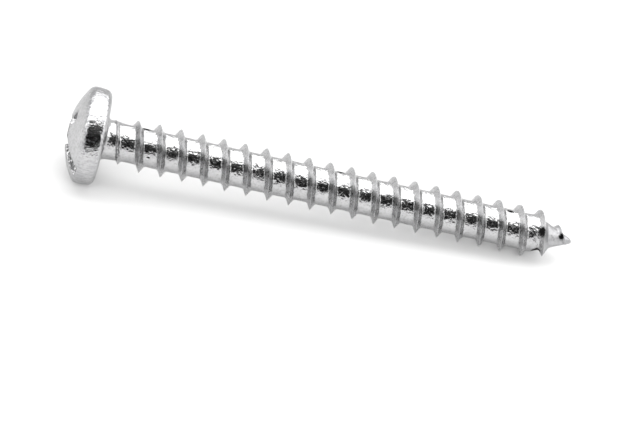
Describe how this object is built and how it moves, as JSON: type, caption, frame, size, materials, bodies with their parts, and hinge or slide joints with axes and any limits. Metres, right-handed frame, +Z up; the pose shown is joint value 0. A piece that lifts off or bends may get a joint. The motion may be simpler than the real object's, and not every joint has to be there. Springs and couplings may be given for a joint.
{
  "type": "sheet metal screw",
  "caption": "Pan-head sheet metal screw with a slot and cross recess, a coarse right-hand tapping thread up to the head and a gimlet point, lying on its side.",
  "frame": {"origin": "middle of the floor under the screw as it lies at rest", "axes": "+X from the head towards the tip, along the floor; +Z up from the floor; the screw's own axis dips about three degrees below +X"},
  "size_m": [0.0545, 0.0104, 0.0104],
  "materials": {
    "zinc_plated_steel": "bright zinc plate over steel, slightly mottled, with small dark marks"
  },
  "bodies": {
    "root": {"screw": "zinc_plated_steel"}
  },
  "joints": []
}
